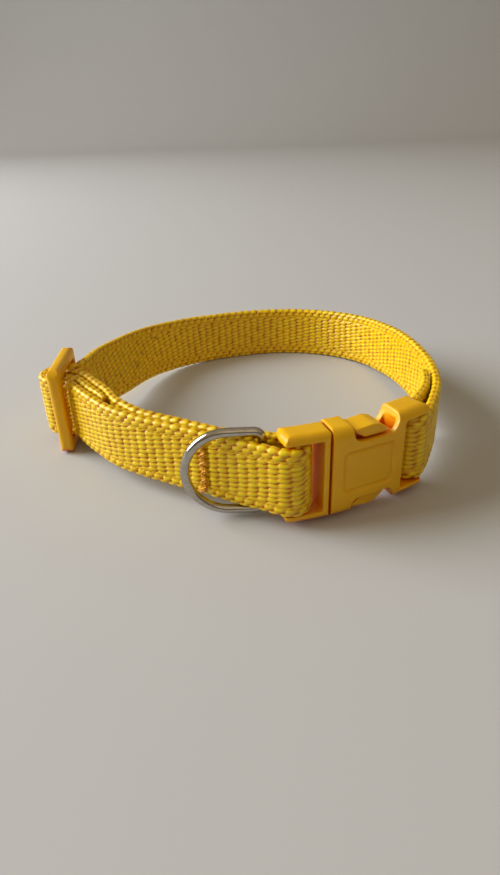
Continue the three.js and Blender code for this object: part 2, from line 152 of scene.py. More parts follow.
# The outer layer in front, and how many layers further in the inner one runs: across, away, heading, layers
FRONT_STATIONS = [
    (-0.4079, -0.2076, -50, 2),
    (-0.3395, -0.2835, -44, 1.4),
    (-0.2632, -0.3392, -33, 1),
    (-0.1684, -0.3899, -29, 1),
    (-0.0987, -0.4278, -30, 1),
]


# Colours and nodes

def linear(code):
    """An sRGB colour such as E0B62C as linear values with full alpha."""
    channels = [int(code[i:i + 2], 16) / 255 for i in (0, 2, 4)]
    return (*[c / 12.92 if c <= 0.04045 else ((c + 0.055) / 1.055) ** 2.4 for c in channels], 1.0)


def node(tree, kind, inputs=None, **settings):
    """Adds a node with its settings, and with values or links on its inputs."""
    made = tree.nodes.new(kind)
    for name, value in settings.items():
        setattr(made, name, value)
    for key, value in (inputs or {}).items():
        if isinstance(value, bpy.types.NodeSocket):
            tree.links.new(value, made.inputs[key])
        else:
            made.inputs[key].default_value = value
    return made


def empty_material(name):
    material = bpy.data.materials.new(name)
    material.use_nodes = True
    material.node_tree.nodes.clear()
    return material, material.node_tree


def shade(tree, inputs):
    """Ends a material with its shader."""
    shader = node(tree, "ShaderNodeBsdfPrincipled", inputs)
    node(tree, "ShaderNodeOutputMaterial", {"Surface": shader.outputs["BSDF"]})


def ramp(tree, factor, stops):
    """A colour ramp from stops of position and hex colour."""
    made = node(tree, "ShaderNodeValToRGB", {"Fac": factor})
    elements = made.color_ramp.elements
    while len(elements) < len(stops):
        elements.new(0.5)
    for element, (position, code) in zip(elements, stops):
        element.position = position
        element.color = linear(code)
    return made.outputs["Color"]


# Ribbed nylon webbing, woven from bright filament yarn: the crests of the warp shine, and the grooves
# between them are dark orange because the light in them has bounced from yarn to yarn.
def webbing_material():
    material, tree = empty_material("woven_nylon_webbing")
    crest = node(tree, "ShaderNodeAttribute", attribute_name="crest").outputs["Fac"]
    stitch = node(tree, "ShaderNodeAttribute", attribute_name="stitch").outputs["Fac"]
    soil = node(tree, "ShaderNodeAttribute", attribute_name="soil").outputs["Fac"]
    place = node(tree, "ShaderNodeTexCoord")
    uv = place.outputs["UV"]
    # one unit of the UV map is 10 mm, so filaments 0.09 mm apart lie across it
    thread_map = node(tree, "ShaderNodeMapping", {"Vector": uv, "Scale": (9.0, 110.0, 1.0)})
    threads = node(tree, "ShaderNodeTexNoise", {
        "Vector": thread_map.outputs["Vector"], "Scale": 1.0, "Detail": 3.0, "Roughness": 0.55,
    })
    drift = node(tree, "ShaderNodeTexNoise", {
        "Vector": place.outputs["Object"], "Scale": 140.0, "Detail": 2.0,
    })
    body = ramp(tree, crest, [(0.0, "B06000"), (0.38, "D89C00"), (0.72, "ECC402"), (1.0, "F6E21C")])
    varied = node(tree, "ShaderNodeMix", {
        "Factor": drift.outputs["Fac"], "A": body,
        "B": node(tree, "ShaderNodeHueSaturation", {
            "Hue": 0.492, "Saturation": 1.05, "Value": 0.86, "Color": body,
        }).outputs["Color"],
    }, data_type="RGBA")
    sewn = node(tree, "ShaderNodeMix", {
        "Factor": stitch, "A": varied.outputs[2], "B": linear("F2C800"),
    }, data_type="RGBA")
    soiled = node(tree, "ShaderNodeMix", {
        "Factor": soil, "A": sewn.outputs[2], "B": linear("5A3204"),
    }, data_type="RGBA")
    gloss = node(tree, "ShaderNodeMapRange", {
        "Value": threads.outputs["Fac"], "From Min": 0.3, "From Max": 0.7, "To Min": 0.26, "To Max": 0.44,
    })
    relief = node(tree, "ShaderNodeBump", {
        "Height": threads.outputs["Fac"], "Strength": 0.45, "Distance": 0.05 * MM,
    })
    shade(tree, {
        "Base Color": soiled.outputs[2],
        "Roughness": gloss.outputs["Result"],
        "Normal": relief.outputs["Normal"],
        "IOR": 1.53,
        "Specular IOR Level": 0.4,
        "Subsurface Weight": 0.1,
        "Subsurface Radius": (1.0, 0.4, 0.04),
        "Subsurface Scale": 0.5 * MM,
    })
    return material


# Injection-moulded acetal in solid yellow: satin, slightly translucent at its edges, with a fine moulded
# grain and the faint unevenness of a cooled wall.
def plastic_material():
    material, tree = empty_material("moulded_acetal")
    place = node(tree, "ShaderNodeTexCoord")
    cloud = node(tree, "ShaderNodeTexNoise", {
        "Vector": place.outputs["Object"], "Scale": 180.0, "Detail": 2.0,
    })
    grain = node(tree, "ShaderNodeTexNoise", {
        "Vector": place.outputs["Object"], "Scale": 2600.0, "Detail": 2.0,
    })
    face = ramp(tree, cloud.outputs["Fac"], [(0.3, "E4AC02"), (0.7, "EAB606")])
    # light that reaches a deep gap has passed through the plastic, and comes out orange-red
    gap = node(tree, "ShaderNodeAmbientOcclusion", {"Distance": 3.5 * MM}, samples=8)
    depth = node(tree, "ShaderNodeMapRange", {
        "Value": gap.outputs["AO"], "From Min": 0.25, "From Max": 0.7, "To Min": 0.0, "To Max": 1.0,
    })
    colour = node(tree, "ShaderNodeMix", {
        "Factor": depth.outputs["Result"], "A": linear("E06A00"), "B": face,
    }, data_type="RGBA").outputs[2]
    gloss = node(tree, "ShaderNodeMapRange", {
        "Value": cloud.outputs["Fac"], "From Min": 0.35, "From Max": 0.65, "To Min": 0.3, "To Max": 0.36,
    })
    relief = node(tree, "ShaderNodeBump", {
        "Height": grain.outputs["Fac"], "Strength": 0.1, "Distance": 0.02 * MM,
    })
    shade(tree, {
        "Base Color": colour,
        "Roughness": gloss.outputs["Result"],
        "Normal": relief.outputs["Normal"],
        "IOR": 1.48,
        "Specular IOR Level": 0.4,
        "Subsurface Weight": 0.18,
        "Subsurface Radius": (1.0, 0.35, 0.04),
        "Subsurface Scale": 0.8 * MM,
    })
    return material


# Nickel-plated steel wire, polished by wear: bright and slightly warm, with hair-fine handling scratches.
def nickel_material():
    material, tree = empty_material("plated_nickel")
    place = node(tree, "ShaderNodeTexCoord")
    scratch_map = node(tree, "ShaderNodeMapping", {
        "Vector": place.outputs["Object"], "Scale": (900.0, 900.0, 5200.0),
    })
    scratches = node(tree, "ShaderNodeTexNoise", {
        "Vector": scratch_map.outputs["Vector"], "Scale": 1.0, "Detail": 4.0,
    })
    gloss = node(tree, "ShaderNodeMapRange", {
        "Value": scratches.outputs["Fac"], "From Min": 0.4, "From Max": 0.75, "To Min": 0.1, "To Max": 0.24,
    })
    colour = ramp(tree, scratches.outputs["Fac"], [(0.3, "C4BEB4"), (0.7, "A8A298")])
    shade(tree, {
        "Base Color": colour,
        "Metallic": 1.0,
        "Roughness": gloss.outputs["Result"],
    })
    return material


# Twisted polyester sewing thread, a deeper orange-yellow than the webbing.
def thread_material():
    material, tree = empty_material("polyester_sewing_thread")
    place = node(tree, "ShaderNodeTexCoord")
    twist = node(tree, "ShaderNodeTexNoise", {
        "Vector": place.outputs["Object"], "Scale": 3800.0, "Detail": 2.0,
    })
    colour = ramp(tree, twist.outputs["Fac"], [(0.3, "C88000"), (0.7, "E8AA00")])
    relief = node(tree, "ShaderNodeBump", {
        "Height": twist.outputs["Fac"], "Strength": 0.4, "Distance": 0.04 * MM,
    })
    shade(tree, {
        "Base Color": colour, "Roughness": 0.5, "Normal": relief.outputs["Normal"], "Sheen Weight": 0.1,
    })
    return material


# Plain matt studio floor, off-white.
def floor_material():
    material, tree = empty_material("studio_floor")
    shade(tree, {"Base Color": linear("BABBBA"), "Roughness": 0.9})
    return material


# The webbing's route

def ahead(heading):
    return np.array([math.cos(math.radians(heading)), math.sin(math.radians(heading))])


def left_of(heading):
    return ahead(heading + 90)


def plan_point(place):
    return np.array([place[0] * LOOP_WIDTH, place[1] * LOOP_DEPTH])


def in_frame(place, heading, x, y):
    """A point given in a hard part's frame, on the plan."""
    return plan_point(place) + ahead(heading) * x + left_of(heading) * y


def buckle_point(along):
    turn = along / BUCKLE_BEND
    return in_frame(
        BUCKLE_PLACE, BUCKLE_HEADING, BUCKLE_BEND * math.sin(turn), BUCKLE_BEND * (1 - math.cos(turn))
    )


def via(point, heading, left=0.0, lean=0.0):
    return (point + left_of(heading) * left, heading, lean)


def turn_round(centre, radius, start, end):
    """The route round a bar or corner, in turns of up to 45 degrees."""
    count = math.ceil(abs(end - start) / 45)
    side = -radius if end > start else radius
    return [via(centre, start + (end - start) * i / count, side) for i in range(count + 1)]


def back_stop(row, left=0.0):
    return via(plan_point(row), row[2], left, row[3])


def front_stop(row, layers=0.0):
    return via(plan_point(row), row[2], layers * LAYER)


def reversed_stop(stop):
    return (stop[0], stop[1] + 180, -stop[2])


def strap_stops():
    """Every stop from the sewn end at the socket to the one at the adjuster, and where it is parted."""
    ring = plan_point(RING_PLACE)
    bar = plan_point(SLIDER_PLACE)
    corner_x = SLIDER_SLOT + SLIDER_BEVEL
    corner_y = SLIDER_THICKNESS / 2 - SLIDER_BEVEL
    far_corner = in_frame(SLIDER_PLACE, SLIDER_HEADING, -corner_x, corner_y)
    near_corner = in_frame(SLIDER_PLACE, SLIDER_HEADING, corner_x, corner_y)
    outwards = SLIDER_HEADING - 90
    inwards = SLIDER_HEADING + 90
    parts = [
        [reversed_stop(back_stop(BACK_STATIONS[i], LAYER)) for i in (2, 1)],
        turn_round(buckle_point(SOCKET_BAR), SOCKET_WRAP, SOCKET_LEAVES - 180, SOCKET_LEAVES),
        [back_stop(row) for row in BACK_STATIONS],
        turn_round(far_corner, CORNER_WRAP, SLIDER_ARRIVES, outwards),
        turn_round(bar, SLIDER_OUTER_WRAP, outwards, inwards),
        turn_round(near_corner, CORNER_WRAP, inwards, SLIDER_LEAVES),
        [front_stop(row) for row in FRONT_STATIONS],
        [via(ring, RING_OUTER, -RING_WRAP)],
        turn_round(buckle_point(PLUG_BAR), PLUG_WRAP + PLUG_SLACK, PLUG_ARRIVES, RING_INNER),
        [via(ring, RING_INNER, -RING_WRAP)],
        [reversed_stop(front_stop(row, row[3])) for row in reversed(FRONT_STATIONS)],
        [reversed_stop(via(near_corner, SLIDER_LEAVES, CORNER_WRAP + 2 * LAYER))],
        turn_round(bar, SLIDER_WRAP, SLIDER_INNER, inwards),
        turn_round(near_corner, CORNER_WRAP + LAYER, inwards, SLIDER_LEAVES),
        [front_stop(FRONT_STATIONS[0], 1), front_stop(FRONT_STATIONS[1], FRONT_STATIONS[1][3] / 2)],
    ]
    starts = np.cumsum([0] + [len(part) for part in parts])
    # each mark is a part's first stop, and how many stops on from it
    marks = {
        "socket_bar": starts[1] + 2,
        "back_middle": starts[2] + 7,
        "slider_outside": starts[4] + 2,
        "plug_bar": starts[8] + 2,
        "slider_bar": starts[12] + 2,
        "ring_seam": starts[6] + 4,
        "tail_start": starts[1] - 1,
        "tail_tip": starts[14],
    }
    return [stop for part in parts for stop in part], marks


def height_at(y):
    """The height of the webbing's middle, which sinks to the floor behind the adjuster."""
    start = plan_point(SLIDER_PLACE)[1] + SLIDER_SLOT + SLIDER_END_BAR
    share = np.clip((y - start) / (LOOP_DEPTH / 2 - start), 0, 1)
    return MIDDLE - SAG * share * share * (3 - 2 * share)


class Route:
    """The webbing's middle line with its directions, by distance along it."""

    STEPS = 48  # between two stops
    REACH = 0.15  # the direction is taken from points this far before and after

    def __init__(self, shift):
        stops, self.marks = strap_stops()
        shares = np.linspace(0, 1, self.STEPS + 1)
        points, leans, begins = [], [], []
        for (start, heading0, lean0), (end, heading1, lean1) in zip(stops, stops[1:]):
            turn = (heading1 - heading0 + 180) % 360 - 180
            handle = np.linalg.norm(end - start) / (3 * math.cos(math.radians(turn) / 4) ** 2)
            flat = [start, start + ahead(heading0) * handle, end - ahead(heading1) * handle, end]
            corners = np.array([[p[0], p[1], height_at(p[1])] for p in flat])
            begins.append(len(points))
            for t in shares[:-1]:
                weights = np.array([(1 - t) ** 3, 3 * t * (1 - t) ** 2, 3 * t * t * (1 - t), t ** 3])
                points.append(weights @ corners)
                leans.append(lean0 + (lean1 - lean0) * t * t * (3 - 2 * t))
        points.append(corners[-1])
        leans.append(lean1)
        begins.append(len(points) - 1)
        self.points = np.array(points) + np.array([shift[0], shift[1], 0])
        self.leans = np.array(leans)
        gaps = np.linalg.norm(np.diff(self.points, axis=0), axis=1)
        self.distances = np.concatenate([[0], np.cumsum(gaps)])
        self.stops = self.distances[begins]
        self.length = self.distances[-1]

    def mark(self, name):
        return float(self.stops[self.marks[name]])

    def at(self, distance):
        """Points and the directions ahead, up and outwards at these distances."""
        spot = np.stack([np.interp(distance, self.distances, self.points[:, i]) for i in range(3)], -1)
        fore = np.minimum(distance + self.REACH, self.length)
        aft = np.maximum(distance - self.REACH, 0)
        tip = np.stack([np.interp(fore, self.distances, self.points[:, i]) for i in range(3)], -1)
        tail = np.stack([np.interp(aft, self.distances, self.points[:, i]) for i in range(3)], -1)
        forward = tip - tail
        forward /= np.linalg.norm(forward, axis=-1, keepdims=True)
        outwards = np.cross(forward, [0, 0, 1])
        outwards /= np.linalg.norm(outwards, axis=-1, keepdims=True)
        lean = np.radians(np.interp(distance, self.distances, self.leans))[..., None]
        up = np.cross(outwards, forward) * np.cos(lean) + outwards * np.sin(lean)
        return spot, forward, up, np.cross(forward, up)


# The weave, measured on the photograph: floats of the warp lie brick-wise, one for each pick
PICK = 1.84  # between two columns of floats along the webbing
FLOAT_LENGTH = 1.1  # half length of a float in the middle of the webbing
EDGE_FLOAT_LENGTH = 1.02
FLOAT_FULLNESS = 0.63  # half width of a float, as a share of its row
FLOAT_SLANT = 0.14  # how far a float runs off its row, for each millimetre along
FLOAT_PEAK = 0.45  # a float is highest this far before its middle, so that its first end is the steep one
FLOAT_FLATNESS = 2.1  # 2 gives a round float, more a flatter one with thinner grooves
CREST = 0.12  # the floats stand this far proud of the plain strap
RELIEF = 0.4  # from the deepest groove to a crest
FLOAT_WANDER = 0.34  # how far floats slip along the webbing from their places
FLOAT_EVENNESS = 0.86  # height of the lowest float, as a share of the highest
EDGE_FULLNESS = 0.66  # half width of a float at the edge, as a share of its row
STITCH_FULLNESS = 0.6  # half size of a stitch, as a share of its row and its pitch
STITCH_HEIGHT = 0.62
STITCH_TINT = 0.75
CORE_ROWS = 9
STITCH_ROW = 0.36
SELVAGE_ROW = 0.95
STEPS_PER_PICK = 8
STEPS_PER_ROW = 6
STITCH_STEPS = 3
SELVAGE_STEPS = 5
ROW_KEY = 7  # turns a row's place into a whole number for the random draw
SEAM_PRESS = 0.14  # a seam presses the webbing in this far
SEAM_PRESS_REACH = 0.95
UV_UNIT = 10  # millimetres of webbing on one unit of the UV map
GRID_MERGE = 0.004
SOIL_SPOTS = [(0.62, 18.5, 0.5), (0.66, 20.5, 0.6), (0.55, 16.0, 0.4)]  # share along, place round, radius
SOIL_STRENGTH = 0.55


def section_rows():
    """The rows round the webbing's section: kind, width in millimetres and number of mesh steps."""
    face = STRAP_WIDTH - STRAP_THICKNESS
    core = face - 2 * STITCH_ROW - 2 * SELVAGE_ROW
    edge = math.pi * HALF_STRAP / 2
    selvage = [("selvage", SELVAGE_ROW, SELVAGE_STEPS)]
    stitches = [("stitch", STITCH_ROW, STITCH_STEPS)]
    side = selvage + stitches + [("core", core, STEPS_PER_ROW * CORE_ROWS)] + stitches + selvage
    turn = [("edge", edge, STEPS_PER_ROW), ("edge", edge, STEPS_PER_ROW)]
    return side + turn + side + turn


def random_at(i, j, seed):
    """A repeatable random number from 0 to 1 for a float of the weave."""
    value = np.sin(i * 12.9898 + j * 78.233 + seed * 37.719) * 43758.5453
    return value - np.floor(value)


def crest_of(i, along, across, middle, half_width, half_length, seed):
    """Height of one float from 0 to 1, from the distances to its middle."""
    row = np.round(middle * ROW_KEY)
    wander = (random_at(i, row, seed) - 0.5) * FLOAT_WANDER
    rise = FLOAT_EVENNESS + (1 - FLOAT_EVENNESS) * random_at(i, row, seed + 1)
    from_peak = along - wander + FLOAT_PEAK
    reach = np.abs(from_peak) / (half_length + np.sign(from_peak) * FLOAT_PEAK)
    aside = np.abs(across - FLOAT_SLANT * along) / half_width
    full = 1 - reach ** FLOAT_FLATNESS - aside ** FLOAT_FLATNESS
    return np.sqrt(np.maximum(full, 0)) * rise


def weave_height(distance, offset, kind, width, seed):
    """Height of the weave from 0 to 1, at a distance along and an offset across one row of the section."""
    best = np.zeros_like(distance)
    pitch = PICK / 2 if kind == "stitch" else PICK
    column = np.round(distance / pitch)
    for step in (-1, 0, 1):
        i = column + step
        along = distance - i * pitch
        if kind == "core":
            row = width / CORE_ROWS
            shift = 0.5 * np.mod(i, 2)
            middle = (np.round(offset / row - 0.5 - shift) + 0.5 + shift) * row
            height = crest_of(i, along, offset - middle, middle, row * FLOAT_FULLNESS, FLOAT_LENGTH, seed)
        elif kind == "stitch":
            middle = np.full_like(offset, width / 2)
            half_width, half_length = width * STITCH_FULLNESS, pitch * STITCH_FULLNESS
            height = crest_of(i, along, offset - middle, middle, half_width, half_length, seed)
            height *= STITCH_HEIGHT
        else:
            stagger = pitch / 2 if kind == "selvage" else 0.0
            i = np.round((distance - stagger) / pitch + step)
            along = distance - stagger - i * pitch
            middle = np.full_like(offset, width / 2)
            half_width = width * EDGE_FULLNESS
            height = crest_of(i, along, offset - middle, middle, half_width, EDGE_FLOAT_LENGTH, seed)
        best = np.maximum(best, height)
    return best


def section_point(around):
    """Place and normal on the section, up and outwards, at a length round it from low outside."""
    flat = STRAP_WIDTH - STRAP_THICKNESS
    arc = math.pi * HALF_STRAP
    up = np.zeros_like(around)
    out = np.zeros_like(around)
    normal_up = np.zeros_like(around)
    normal_out = np.zeros_like(around)
    for lap, side in ((0.0, 1.0), (flat + arc, -1.0)):
        local = around - lap
        on_flat = (local >= 0) & (local <= flat)
        up[on_flat] = side * (local[on_flat] - flat / 2)
        out[on_flat] = side * HALF_STRAP
        normal_out[on_flat] = side
        on_arc = (local > flat) & (local <= flat + arc + 1e-6)
        angle = (local[on_arc] - flat) / HALF_STRAP
        normal_up[on_arc] = side * np.sin(angle)
        normal_out[on_arc] = side * np.cos(angle)
        up[on_arc] = side * flat / 2 + HALF_STRAP * normal_up[on_arc]
        out[on_arc] = HALF_STRAP * normal_out[on_arc]
    return up, out, normal_up, normal_out


def section_columns():
    """One entry for each mesh line round the section: length round it, row kind, offset, width and seed."""
    columns = []
    start = 0.0
    for seed, (kind, width, steps) in enumerate(section_rows()):
        for step in range(steps):
            columns.append((start + width * step / steps, kind, width * step / steps, width, seed))
        start += width
    columns.append((start, "selvage", 0.0, SELVAGE_ROW, 0))
    return columns


def finished(bm, name, material):
    """Makes an object of a bmesh, with smooth faces and one material."""
    mesh = bpy.data.meshes.new(name)
    bm.to_mesh(mesh)
    bm.free()
    mesh.materials.append(material)
    mesh.shade_smooth()
    piece = bpy.data.objects.new(name, mesh)
    bpy.context.scene.collection.objects.link(piece)
    return piece


def soil_spots(route, distance, around):
    """Small soiled marks on the inner face at the back left, as on the real one."""
    begin, end = route.mark("back_middle"), route.mark("slider_outside")
    value = np.zeros_like(distance)
    for share, across, radius in SOIL_SPOTS:
        away = ((distance - begin - share * (end - begin)) / radius) ** 2 + ((around - across) / radius) ** 2
        value = np.maximum(value, SOIL_STRENGTH * np.exp(-away))
    return value


def webbing(route, name, begin, end, seams, material, thinned_from=None):
    """A stretch of webbing between two distances of the route, woven all round, with closed ends."""
    columns = section_columns()
    lengthwise = max(2, round((end - begin) / PICK * STEPS_PER_PICK))
    bm = bmesh.new()
    bm.loops.layers.uv.new("UVMap")
    bmesh.ops.create_grid(
        bm, x_segments=lengthwise, y_segments=len(columns) - 1, size=0.5, calc_uvs=True
    )
    grid = np.array([vertex.co[:] for vertex in bm.verts])
    distance = begin + (grid[:, 0] + 0.5) * (end - begin)
    line = np.clip(np.round((grid[:, 1] + 0.5) * (len(columns) - 1)).astype(int), 0, len(columns) - 1)
    around = np.array([column[0] for column in columns])[line]
    height = np.zeros(len(grid))
    stitch = np.zeros(len(grid))
    for index, (_, kind, offset, width, seed) in enumerate(columns):
        chosen = line == index
        height[chosen] = weave_height(distance[chosen], np.full(chosen.sum(), offset), kind, width, seed)
        stitch[chosen] = STITCH_TINT if kind == "stitch" else 0.0
    up, out, normal_up, normal_out = section_point(around)
    pressed = np.zeros(len(grid))
    for seam in seams:
        pressed = np.maximum(pressed, np.exp(-((distance - seam) / SEAM_PRESS_REACH) ** 2))
    proud = CREST - RELIEF * (1 - height) - SEAM_PRESS * pressed
    spot, _, upward, outward = route.at(distance)
    thickness = np.ones(len(grid))
    if thinned_from:
        thickness -= (1 - TAIL_THINNED) * np.clip((distance - thinned_from) / (end - thinned_from), 0, 1)
    across = (out + normal_out * proud) * thickness
    place = spot + upward * (up + normal_up * proud)[:, None] + outward * across[:, None]
    place[:, 2] = np.maximum(place[:, 2], 0)  # pressed flat where it rests
    for vertex, co in zip(bm.verts, place * MM):
        vertex.co = co
    uv = bm.loops.layers.uv.active
    for face in bm.faces:
        for loop in face.loops:
            corner = loop.vert.index
            loop[uv].uv = (distance[corner] / UV_UNIT, around[corner] / UV_UNIT)
    crest_layer = bm.verts.layers.float.new("crest")
    stitch_layer = bm.verts.layers.float.new("stitch")
    soil_layer = bm.verts.layers.float.new("soil")
    soil = soil_spots(route, distance, around)
    for vertex in bm.verts:
        vertex[crest_layer] = height[vertex.index]
        vertex[stitch_layer] = stitch[vertex.index]
        vertex[soil_layer] = soil[vertex.index]
    bmesh.ops.remove_doubles(bm, verts=bm.verts, dist=GRID_MERGE * MM)
    rim = [edge for edge in bm.edges if edge.is_boundary]
    bmesh.ops.holes_fill(bm, edges=rim, sides=0)
    bmesh.ops.recalc_face_normals(bm, faces=bm.faces)
    piece = finished(bm, name, material)
    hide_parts("strap")
    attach(piece, "collar")
    return piece


# Seams
THREAD_RADIUS = 0.15
SEAM_HALF_WIDTH = 0.85
SEAM_REACH = 5.5  # from the webbing's middle to each end of a seam
SEAM_TURNS = 6
SEAM_RAGGEDNESS = 0.45  # how far a stitch strays from its line
SEAM_PHASES = (0.0, 0.5, 0.25, 0.75)  # where each layer of zigzag starts, in steps of the seam
SEAM_LIFT = 0.12  # the first layer's middle above the plain strap
SEAM_LAYER_LIFT = 0.07
SEAM_SEED = 3
SOCKET_SEAM_INSET = 1.6  # from the last stop of the socket's tail to its seam


def tube(name, paths, radius, material, sides=4):
    """A mesh tube along each path of points, in millimetres."""
    curve = bpy.data.curves.new(name, "CURVE")
    curve.dimensions = "3D"
    curve.bevel_depth = radius * MM
    curve.bevel_resolution = sides
    curve.resolution_u = 6
    curve.use_fill_caps = True
    for path in paths:
        spline = curve.splines.new("NURBS")
        spline.points.add(len(path) - 1)
        for point, co in zip(spline.points, path):
            point.co = (*(np.array(co) * MM), 1)
        spline.order_u = 3
        spline.use_endpoint_u = True
    made = bpy.data.objects.new(name, curve)
    bpy.context.scene.collection.objects.link(made)
    bpy.context.view_layer.update()
    mesh = bpy.data.meshes.new_from_object(made)
    mesh.name = name
    bpy.data.objects.remove(made)
    mesh.materials.clear()
    mesh.materials.append(material)
    mesh.shade_smooth()
    piece = bpy.data.objects.new(name, mesh)
    bpy.context.scene.collection.objects.link(piece)
    return piece


def bar_tack(route, name, distance, material):
    """A dense zigzag seam over the outer face of the webbing."""
    steps = SEAM_TURNS * 2 + 1
    paths = []
    for layer, phase in enumerate(SEAM_PHASES):
        path = []
        for step in range(steps):
            stray = SEAM_RAGGEDNESS * (random_at(step, layer, SEAM_SEED) - 0.5)
            along = SEAM_HALF_WIDTH * (1 if step % 2 else -1) + stray
            up = -SEAM_REACH + 2 * SEAM_REACH * (step + phase + stray) / steps
            spot, _, upward, outward = route.at(np.array([distance + along]))
            lift = HALF_STRAP + SEAM_LAYER_LIFT * layer + SEAM_LIFT
            path.append((spot + upward * up + outward * lift)[0])
        paths.append(path)
    piece = tube(name, paths, THREAD_RADIUS, material)
    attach(piece, "collar")
    return piece


# Moulded parts
VOXEL = 0.14
FRAME_MERGE = 0.001
EASING_ROUNDS = 4
PANEL_GROOVE = 0.24
PANEL_GROOVE_WIDTH = 0.2
PANEL_GROOVE_INSET = 0.35  # from the panel's outline to the groove's deepest line
SOCKET_FACE = 0.6  # what lies less than this below the outer face can be grooved
SOCKET_FACE_ROUND = 1.9  # radius of the socket's long outer edges
SOCKET_BACK_ROUND = 1.0
SOCKET_END_ROUND = 2.0
PLUG_ROUND = 1.35
SEAM_ROUND = 0.4  # where plug and socket meet
SLIDER_ROUND = 1.1
SLIDER_CORNER = 2.0


def merged_copy(name):
    """A bmesh of a part of the frame, with its doubled corners merged."""
    bm = bmesh.new()
    bm.from_mesh(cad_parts[name].data)
    bmesh.ops.remove_doubles(bm, verts=bm.verts, dist=FRAME_MERGE * MM)
    bmesh.ops.recalc_face_normals(bm, faces=bm.faces)
    return bm


def smoothed(bm, rounds):
    for _ in range(rounds):
        bmesh.ops.smooth_vert(
            bm, verts=bm.verts, factor=0.5, use_axis_x=True, use_axis_y=True, use_axis_z=True
        )


def moulded(node_name, name, material, carve):
    """A moulded part: its form is meshed finely, eased, rounded by its carve and eased again."""
    rough = finished(merged_copy(node_name), name + "_form", material)
    remesh = rough.modifiers.new("fine", "REMESH")
    remesh.mode = "VOXEL"
    remesh.voxel_size = VOXEL * MM
    bpy.context.view_layer.update()
    fine = rough.evaluated_get(bpy.context.evaluated_depsgraph_get())
    bm = bmesh.new()
    bm.from_mesh(fine.to_mesh())
    fine.to_mesh_clear()
    bpy.data.objects.remove(rough)
    smoothed(bm, EASING_ROUNDS)
    points = np.array([vertex.co[:] for vertex in bm.verts]) / MM
    for vertex, co in zip(bm.verts, carve(points) * MM):
        vertex.co = co
    smoothed(bm, EASING_ROUNDS // 2)
    piece = finished(bm, name, material)
    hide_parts(node_name)
    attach(piece, "collar")
    return piece


def drawn_in(a, b, half_a, half_b, radius):
    """Draws what lies outside a rectangle's rounded corners back to the round."""
    over_a = np.abs(a) - half_a + radius
    over_b = np.abs(b) - half_b + radius
    far = np.hypot(over_a, over_b)
    outside = (over_a > 0) & (over_b > 0) & (far > radius)
    share = np.where(outside, radius / np.maximum(far, 1e-6), 1.0)
    new_a = np.sign(a) * (half_a - radius + over_a * share)
    new_b = np.sign(b) * (half_b - radius + over_b * share)
    return np.where(outside, new_a, a), np.where(outside, new_b, b)


def in_buckle(points, shift):
    """Places in the buckle's bent frame: along it, outwards and up from its middle."""
    centre = in_frame(BUCKLE_PLACE, BUCKLE_HEADING, 0, BUCKLE_BEND) + shift
    spoke = points[:, :2] - centre
    along = (np.arctan2(spoke[:, 1], spoke[:, 0]) - math.radians(BUCKLE_HEADING - 90)) * BUCKLE_BEND
    return along, np.hypot(spoke[:, 0], spoke[:, 1]) - BUCKLE_BEND, points[:, 2] - MIDDLE


def out_of_buckle(along, out, up, shift):
    centre = in_frame(BUCKLE_PLACE, BUCKLE_HEADING, 0, BUCKLE_BEND) + shift
    angle = along / BUCKLE_BEND + math.radians(BUCKLE_HEADING - 90)
    reach = BUCKLE_BEND + out
    return np.stack([centre[0] + reach * np.cos(angle), centre[1] + reach * np.sin(angle), up + MIDDLE], -1)


def carve_socket(points, shift):
    along, out, up = in_buckle(points, shift)
    half_height = WEB_OPENING / 2 + BUCKLE_RAIL
    half_length = SOCKET_LENGTH / 2
    half_thickness = SOCKET_THICKNESS / 2
    middle = MOUTH + half_length
    rail_round = np.where(out > 0, SOCKET_FACE_ROUND, SOCKET_BACK_ROUND)
    out, up = drawn_in(out, up, half_thickness, half_height, rail_round)
    end_round = np.where(along > middle, SOCKET_END_ROUND, SEAM_ROUND)
    x, out = drawn_in(along - middle, out, half_length, half_thickness, end_round)
    x, up = drawn_in(x, up, half_length, half_height, end_round)
    panel_x = x + middle - MOUTH - PANEL_INSET - PANEL_LENGTH / 2
    dx = np.abs(panel_x) - PANEL_LENGTH / 2 + PANEL_CORNER
    dz = np.abs(up) - PANEL_HEIGHT / 2 + PANEL_CORNER
    past_corner = np.hypot(np.maximum(dx, 0), np.maximum(dz, 0))
    outside = past_corner + np.minimum(np.maximum(dx, dz), 0) - PANEL_CORNER
    depth = PANEL_GROOVE * np.exp(-((outside + PANEL_GROOVE_INSET) / PANEL_GROOVE_WIDTH) ** 2)
    out = np.where(out > half_thickness - SOCKET_FACE, out - depth, out)
    return out_of_buckle(x + middle, out, up, shift)


def carve_plug(points, shift):
    along, out, up = in_buckle(points, shift)
    half_height = WEB_OPENING / 2 + BUCKLE_RAIL
    half_length = PLUG_FRAME / 2
    half_thickness = PLUG_THICKNESS / 2
    middle = half_length - BUCKLE_LENGTH / 2
    frame_part = along < middle + half_length + CLEAR / 2
    x = along - middle
    new_out, new_up = drawn_in(out, up, half_thickness, half_height, PLUG_ROUND)
    end_round = np.where(x < 0, PLUG_ROUND, SEAM_ROUND)
    new_x, new_out = drawn_in(x, new_out, half_length, half_thickness, end_round)
    new_x, new_up = drawn_in(new_x, new_up, half_length, half_height, end_round)
    keep = np.where(frame_part, 1.0, 0.0)
    return out_of_buckle(
        middle + x + keep * (new_x - x), out + keep * (new_out - out), up + keep * (new_up - up), shift
    )


